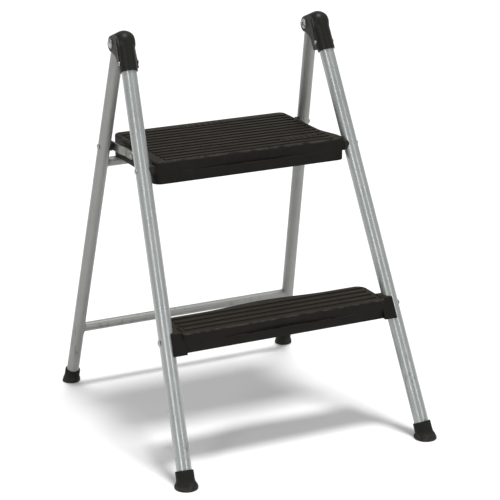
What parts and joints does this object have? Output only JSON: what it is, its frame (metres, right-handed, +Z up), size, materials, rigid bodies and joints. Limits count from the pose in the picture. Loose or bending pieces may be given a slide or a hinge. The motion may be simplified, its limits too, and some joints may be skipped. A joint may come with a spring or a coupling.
{
  "type": "folding step stool",
  "caption": "Folding step stool: splayed tubular steel A-frame on rubber feet, moulded ribbed steps, capped hinges; the upper step tips up on flat links as the rear frame folds in.",
  "frame": {"origin": "on the floor under the middle of the open stool's bounding box", "axes": "+X to the user's right when climbing, +Y to the back, +Z up"},
  "size_m": [0.4306, 0.4858, 0.6027],
  "materials": {
    "silver_paint": "silver-grey metallic paint, satin",
    "step_plastic": "fine-grained black moulding",
    "cap_plastic": "semi-gloss black moulding",
    "foot_rubber": "matt black rubber",
    "rivet_zinc": "bright zinc plate"
  },
  "bodies": {
    "front_frame": {"front_leg_left": "silver_paint", "front_leg_right": "silver_paint", "front_foot_left": "foot_rubber", "front_foot_right": "foot_rubber", "hinge_cap_left": "cap_plastic", "hinge_cap_right": "cap_plastic", "cap_rivet_left": "rivet_zinc", "cap_rivet_right": "rivet_zinc", "hinge_rivet_left": "rivet_zinc", "hinge_rivet_right": "rivet_zinc", "hinge_washers": "rivet_zinc", "pivot_rivet_left": "rivet_zinc", "pivot_rivet_right": "rivet_zinc", "pivot_spacer_left": "cap_plastic", "pivot_spacer_right": "cap_plastic", "lower_step": "step_plastic", "lower_step_rivet_left": "rivet_zinc", "lower_step_rivet_right": "rivet_zinc"},
    "rear_frame": {"rear_leg_left": "silver_paint", "rear_leg_right": "silver_paint", "rear_foot_left": "foot_rubber", "rear_foot_right": "foot_rubber", "upper_crossbar": "silver_paint", "lower_crossbar": "silver_paint", "hinge_bush_left": "cap_plastic", "hinge_bush_right": "cap_plastic", "link_rear_rivet_left": "rivet_zinc", "link_rear_rivet_right": "rivet_zinc", "link_spacer_left": "cap_plastic", "link_spacer_right": "cap_plastic"},
    "upper_step": {"upper_step": "step_plastic", "link_stud_left": "rivet_zinc", "link_stud_right": "rivet_zinc"},
    "link_left": {"link_left": "silver_paint", "link_front_rivet_left": "rivet_zinc"},
    "link_right": {"link_right": "silver_paint", "link_front_rivet_right": "rivet_zinc"}
  },
  "joints": [
    {"name": "frame_fold", "type": "hinge", "parent": "front_frame", "child": "rear_frame", "pos_m": [0, 0.07839, 0.581], "axis": [-1, 0, 0], "range_deg": [0, 39.8]},
    {"name": "step_tilt", "type": "hinge", "parent": "front_frame", "child": "upper_step", "pos_m": [0, -0.02818, 0.414], "axis": [1, 0, 0], "range_deg": [0, 64.5]},
    {"name": "link_left_swing", "type": "hinge", "parent": "rear_frame", "child": "link_left", "pos_m": [-0.15625, 0.12146, 0.41448], "axis": [-1, 0, 0], "range_deg": [0, 53.14]},
    {"name": "link_right_swing", "type": "hinge", "parent": "rear_frame", "child": "link_right", "pos_m": [0.15625, 0.12146, 0.41448], "axis": [-1, 0, 0], "range_deg": [0, 53.14]}
  ],
  "couplings": [
    {"joint": "step_tilt", "follows": "frame_fold", "ratio": 1.6203},
    {"joint": "link_left_swing", "follows": "frame_fold", "ratio": 1.335},
    {"joint": "link_right_swing", "follows": "frame_fold", "ratio": 1.335}
  ]
}
